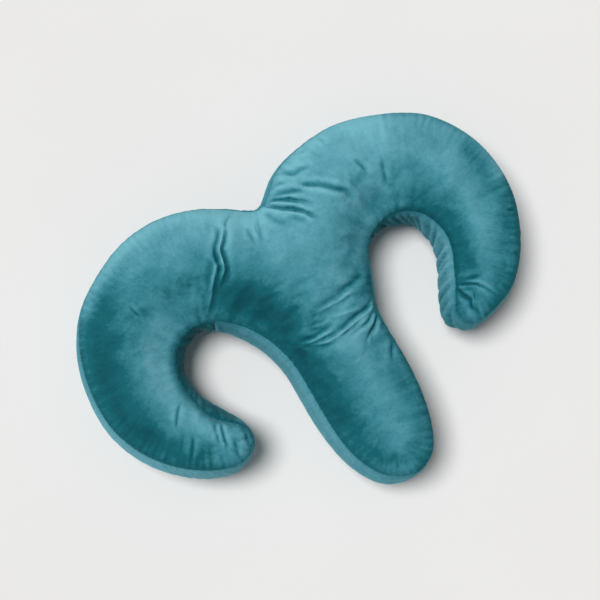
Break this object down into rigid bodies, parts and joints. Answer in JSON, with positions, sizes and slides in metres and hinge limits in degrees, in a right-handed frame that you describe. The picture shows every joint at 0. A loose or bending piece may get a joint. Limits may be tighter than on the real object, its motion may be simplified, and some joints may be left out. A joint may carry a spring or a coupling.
{
  "type": "shaped lumbar support cushion",
  "caption": "Ram's-horn shaped velvet lumbar support cushion: two curled side horns and a central stem, with a zipped cover over a fibre-filled inner case.",
  "frame": {"origin": "centre of the object's bounding box in plan, on the surface that the cushion's back lies on", "axes": "+X across the horns, +Y from the stem towards the notch between the horns, +Z through the thickness from the back panel to the front panel"},
  "size_m": [0.4998, 0.373, 0.098],
  "materials": {
    "velvet": "teal polyester velvet, short brushed pile with a soft sheen",
    "zip_tape": "woven polyester zip tape, teal",
    "zip_coil": "nylon coil, teal",
    "zip_metal": "plain nickel-plated zip metal",
    "label": "blank white satin label tape",
    "calico": "plain unbleached cotton",
    "fibre": "white polyester fibre filling"
  },
  "bodies": {
    "cushion": {"cover_front_panel": "velvet", "cover_back_left": "velvet", "cover_back_right": "velvet", "side_strip_long": "velvet", "side_strip_short": "velvet", "zip_tape_left": "zip_tape", "zip_tape_right": "zip_tape", "zip_coil_left": "zip_coil", "zip_coil_right": "zip_coil", "zip_bottom_stop": "zip_metal", "zip_top_stop_left": "zip_metal", "zip_top_stop_right": "zip_metal", "care_label": "label", "insert_case_front": "calico", "insert_case_back": "calico", "fibre_fill": "fibre"},
    "slider": {"zip_slider": "zip_metal"},
    "pull": {"zip_pull": "zip_metal"}
  },
  "joints": [
    {"name": "zip_slide", "type": "slide", "parent": "cushion", "child": "slider", "axis": [0, -1, 0], "range_m": [0, 0.2]},
    {"name": "pull_hinge", "type": "hinge", "parent": "slider", "child": "pull", "pos_m": [0.00807, 0.0945, 0.0031], "axis": [1, 0, 0], "range_deg": [0, 150]}
  ]
}
